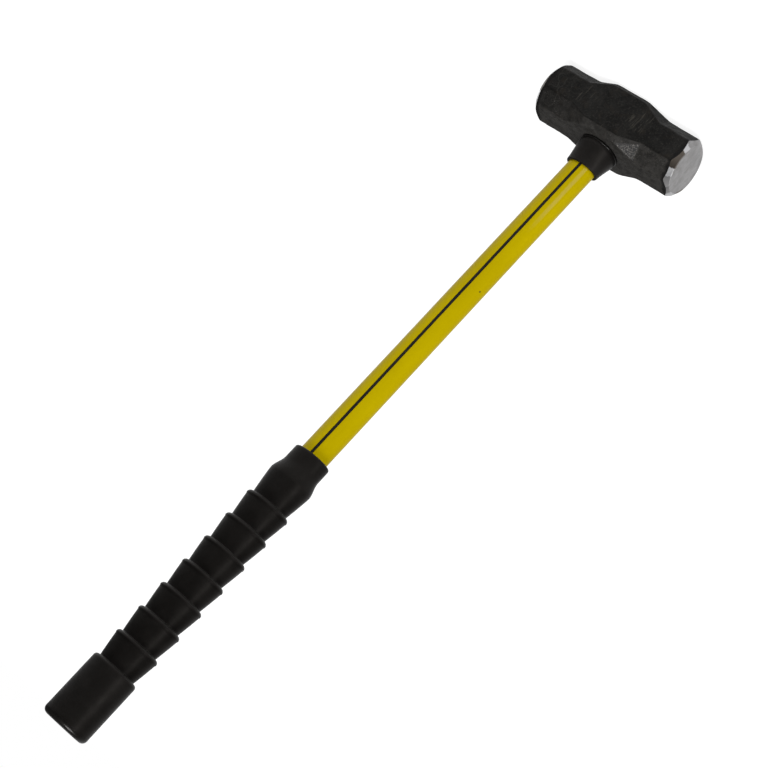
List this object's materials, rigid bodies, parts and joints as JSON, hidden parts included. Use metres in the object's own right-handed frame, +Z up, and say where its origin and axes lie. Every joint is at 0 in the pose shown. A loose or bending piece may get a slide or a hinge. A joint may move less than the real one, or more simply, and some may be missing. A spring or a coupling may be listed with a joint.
{
  "type": "sledgehammer",
  "caption": "Double-faced sledgehammer: forged steel head with octagonal ends and ground faces, oval fibreglass handle, rubber collar under the head and a long ribbed rubber grip.",
  "frame": {"origin": "under the middle of the head, on the surface the hammer stands on when it stands on its head", "axes": "+Z up along the handle to the butt; the head strikes along +X and -X; the cheeks face +Y and -Y"},
  "size_m": [0.1686, 0.068, 0.813],
  "materials": {
    "forged_steel": "dull black forging scale on the body, both striking faces and their chamfers ground bright",
    "epoxy": "cast, semi-gloss",
    "dam_rubber": "matt foam rubber",
    "fibreglass": "pultruded, sawn end",
    "yellow_plastic": "smooth semi-gloss moulding",
    "black_plastic": "satin",
    "collar_rubber": "satin moulded",
    "grip_rubber": "satin moulded with rounded ribs"
  },
  "bodies": {
    "root": {"head": "forged_steel", "eye_epoxy": "epoxy", "eye_dam": "dam_rubber", "handle_core": "fibreglass", "handle_jacket": "yellow_plastic", "stripe_front": "black_plastic", "stripe_back": "black_plastic", "collar": "collar_rubber", "grip": "grip_rubber"}
  },
  "joints": []
}
